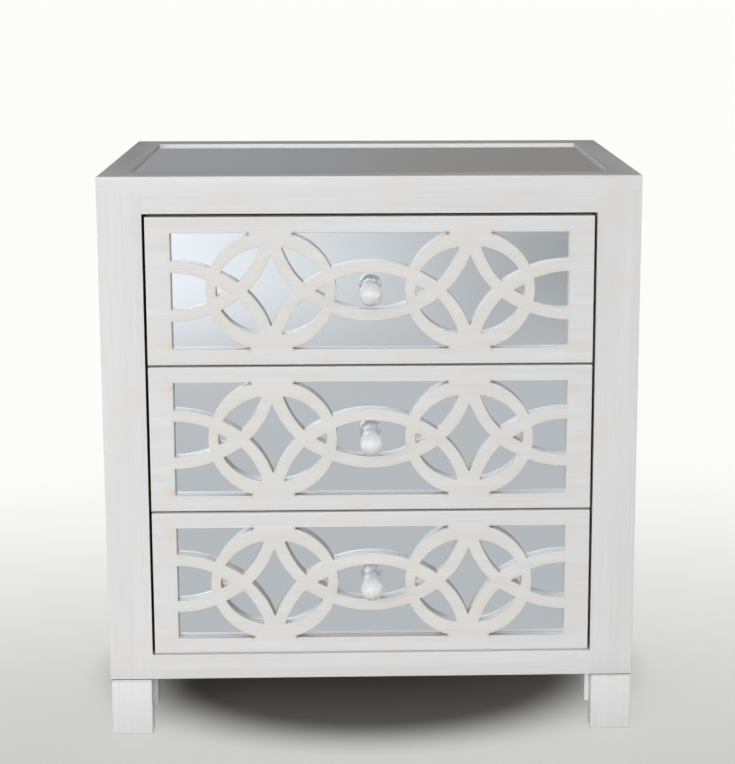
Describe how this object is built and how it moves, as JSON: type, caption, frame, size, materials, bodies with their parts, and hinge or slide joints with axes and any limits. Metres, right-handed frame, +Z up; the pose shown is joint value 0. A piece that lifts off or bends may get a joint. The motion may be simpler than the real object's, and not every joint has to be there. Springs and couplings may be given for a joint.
{
  "type": "chest of drawers",
  "caption": "Straight-sided painted chest of drawers on square bracket feet, with interlaced-circle fretwork over mirror on its sliding drawers and a mirror let into the top.",
  "frame": {"origin": "on the floor under the middle of the bounding box, which includes the knobs", "axes": "X to the right seen from the front, Y from the front to the back, Z up"},
  "size_m": [0.66, 0.4996, 0.711],
  "materials": {
    "antique_white_paint": "brushed antique white paint with a faint warm rub",
    "mirror": "silvered mirror glass",
    "white_glaze": "white glaze",
    "pine": "plain planed pine",
    "plywood": "plain sanded plywood",
    "steel": "zinc plated"
  },
  "bodies": {
    "case": {"top_rail": "antique_white_paint", "bottom_rail": "antique_white_paint", "left_stile": "antique_white_paint", "right_stile": "antique_white_paint", "left_side_panel": "antique_white_paint", "right_side_panel": "antique_white_paint", "front_left_foot": "antique_white_paint", "front_right_foot": "antique_white_paint", "rear_left_foot": "antique_white_paint", "rear_right_foot": "antique_white_paint", "corner_blocks": "antique_white_paint", "top_frame_front": "antique_white_paint", "top_frame_right": "antique_white_paint", "top_frame_back": "antique_white_paint", "top_frame_left": "antique_white_paint", "back_panel": "plywood", "bottom_panel": "plywood", "top_backing_board": "plywood", "rear_top_rail": "pine", "rear_bottom_rail": "pine", "drawer_stops": "pine", "left_kicker": "pine", "right_kicker": "pine", "bottom_left_runner": "pine", "bottom_right_runner": "pine", "middle_left_runner": "pine", "middle_right_runner": "pine", "top_left_runner": "pine", "top_right_runner": "pine", "foot_bolts": "steel", "top_mirror": "mirror"},
    "bottom_drawer": {"bottom_drawer_fretwork": "antique_white_paint", "bottom_drawer_mirror": "mirror", "bottom_drawer_front": "antique_white_paint", "bottom_drawer_left_side": "pine", "bottom_drawer_right_side": "pine", "bottom_drawer_back": "pine", "bottom_drawer_bottom": "plywood", "bottom_drawer_knob": "white_glaze", "bottom_drawer_knob_screw": "steel"},
    "middle_drawer": {"middle_drawer_fretwork": "antique_white_paint", "middle_drawer_mirror": "mirror", "middle_drawer_front": "antique_white_paint", "middle_drawer_left_side": "pine", "middle_drawer_right_side": "pine", "middle_drawer_back": "pine", "middle_drawer_bottom": "plywood", "middle_drawer_knob": "white_glaze", "middle_drawer_knob_screw": "steel"},
    "top_drawer": {"top_drawer_fretwork": "antique_white_paint", "top_drawer_mirror": "mirror", "top_drawer_front": "antique_white_paint", "top_drawer_left_side": "pine", "top_drawer_right_side": "pine", "top_drawer_back": "pine", "top_drawer_bottom": "plywood", "top_drawer_knob": "white_glaze", "top_drawer_knob_screw": "steel"}
  },
  "joints": [
    {"name": "bottom_drawer_slide", "type": "slide", "parent": "case", "child": "bottom_drawer", "axis": [0, -1, 0], "range_m": [0, 0.3]},
    {"name": "middle_drawer_slide", "type": "slide", "parent": "case", "child": "middle_drawer", "axis": [0, -1, 0], "range_m": [0, 0.3]},
    {"name": "top_drawer_slide", "type": "slide", "parent": "case", "child": "top_drawer", "axis": [0, -1, 0], "range_m": [0, 0.3]}
  ]
}
